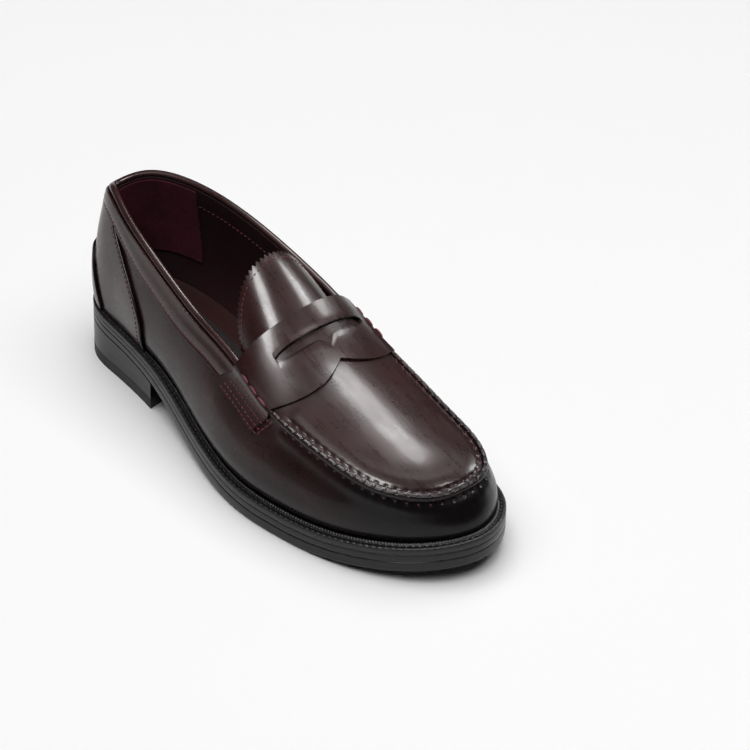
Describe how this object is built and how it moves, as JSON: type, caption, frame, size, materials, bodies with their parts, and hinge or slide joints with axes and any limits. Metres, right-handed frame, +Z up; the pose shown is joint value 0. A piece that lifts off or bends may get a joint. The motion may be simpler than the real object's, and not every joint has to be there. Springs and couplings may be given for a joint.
{
  "type": "penny loafer",
  "caption": "Men's penny loafer for the right foot: slip-on leather shoe with a raised apron seam, a slotted saddle strap, a loose tongue, a welted sole and a stacked heel.",
  "frame": {"origin": "centre of the shoe's box in plan, on the floor under the heel and the ball", "axes": "+Z up, -Y towards the toe, +Y towards the heel, -X the outer (lateral) side of the foot, +X the inner (medial) side"},
  "size_m": [0.1094, 0.3026, 0.113],
  "materials": {
    "burgundy_leather": "polished, brushed-off abrasivato calf",
    "dark_leather": "polished, burnished near black",
    "lining_leather": "matte lining leather",
    "suede": "napped suede",
    "sock_leather": "matte sock leather",
    "label_black": "matte woven label, blank",
    "thread": "waxed dark red thread",
    "black_welt": "dyed and waxed edge, satin",
    "black_rubber": "matte",
    "fibre_board": "matte",
    "cork": "granular, matte",
    "steel": "plain"
  },
  "bodies": {
    "shoe": {"vamp_wall": "burgundy_leather", "apron": "burgundy_leather", "apron_seam_roll": "dark_leather", "saddle_strap": "burgundy_leather", "strap_thread_lateral": "thread", "strap_thread_medial": "thread", "topline_binding": "burgundy_leather", "collar_band": "burgundy_leather", "heel_counter": "burgundy_leather", "heel_kicker": "dark_leather", "toe_puff": "fibre_board", "heel_stiffener": "fibre_board", "vamp_lining": "lining_leather", "apron_lining": "lining_leather", "quarter_lining": "lining_leather", "heel_grip": "suede", "welt": "black_welt", "welt_thread": "thread", "midsole": "black_welt", "outsole": "black_rubber", "cork_filler": "cork", "shank_board": "fibre_board", "steel_shank": "steel", "insole_board": "fibre_board", "sock_liner": "sock_leather", "sock_label": "label_black", "heel_lift_upper": "black_welt", "heel_lift_lower": "black_welt", "heel_top_piece": "black_rubber"},
    "tongue": {"tongue": "burgundy_leather", "tongue_lining": "lining_leather"}
  },
  "joints": [
    {"name": "tongue_lift", "type": "hinge", "parent": "shoe", "child": "tongue", "pos_m": [-0.00018, -0.00983, 0.093], "axis": [1, 0, 0], "range_deg": [-5, 20], "stiffness_Nm_per_rad": 0.08}
  ]
}
